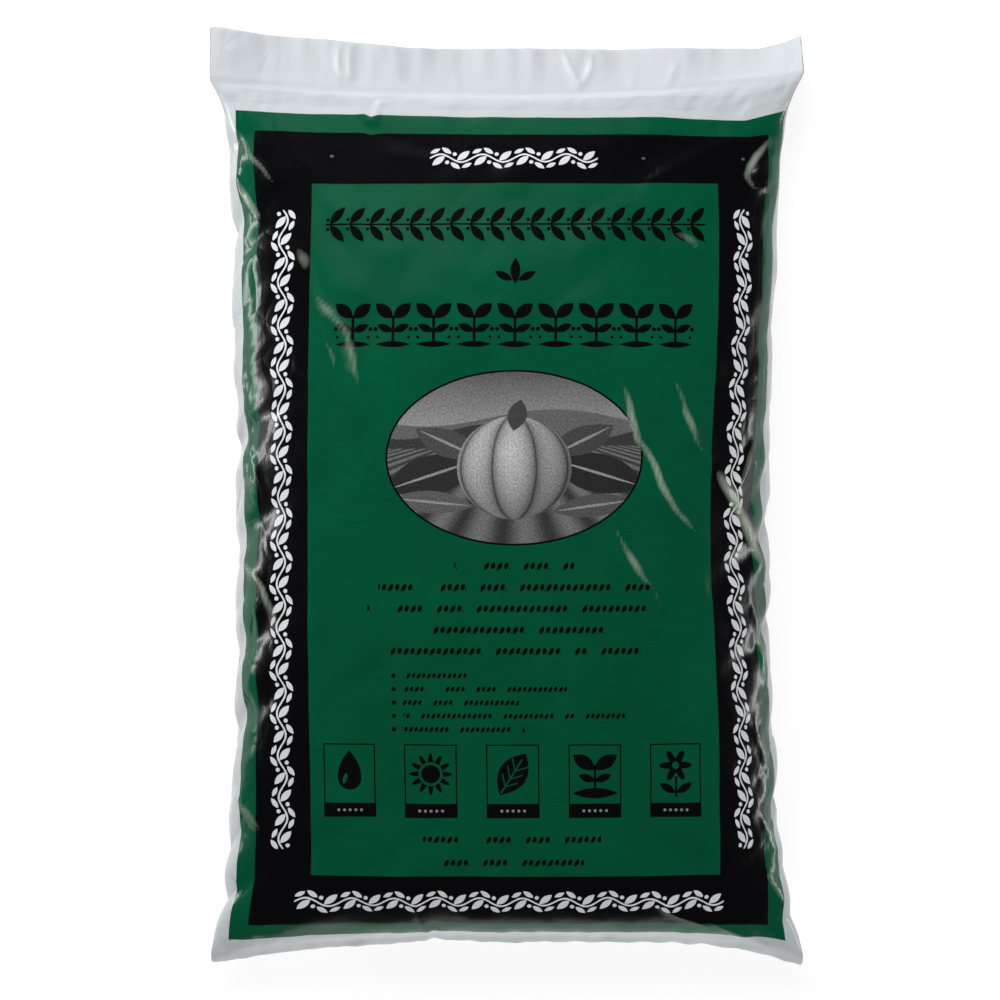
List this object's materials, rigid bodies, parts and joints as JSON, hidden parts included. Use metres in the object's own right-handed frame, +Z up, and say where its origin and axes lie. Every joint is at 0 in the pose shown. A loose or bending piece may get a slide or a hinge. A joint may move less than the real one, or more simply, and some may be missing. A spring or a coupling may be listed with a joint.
{
  "type": "compost bag",
  "caption": "Filled pillow bag of garden compost lying on its back: film sealed across both ends, a loose header, puckered sides and a printed face.",
  "frame": {"origin": "on the floor, under the middle of the bag's overall length and width", "axes": "+Y towards the loose header of film beyond the top seal, +Z up out of the printed face"},
  "size_m": [0.45, 0.7052, 0.111],
  "materials": {
    "printed_film": "satin polyethylene film"
  },
  "bodies": {
    "root": {"compost_bag": "printed_film"}
  },
  "joints": []
}
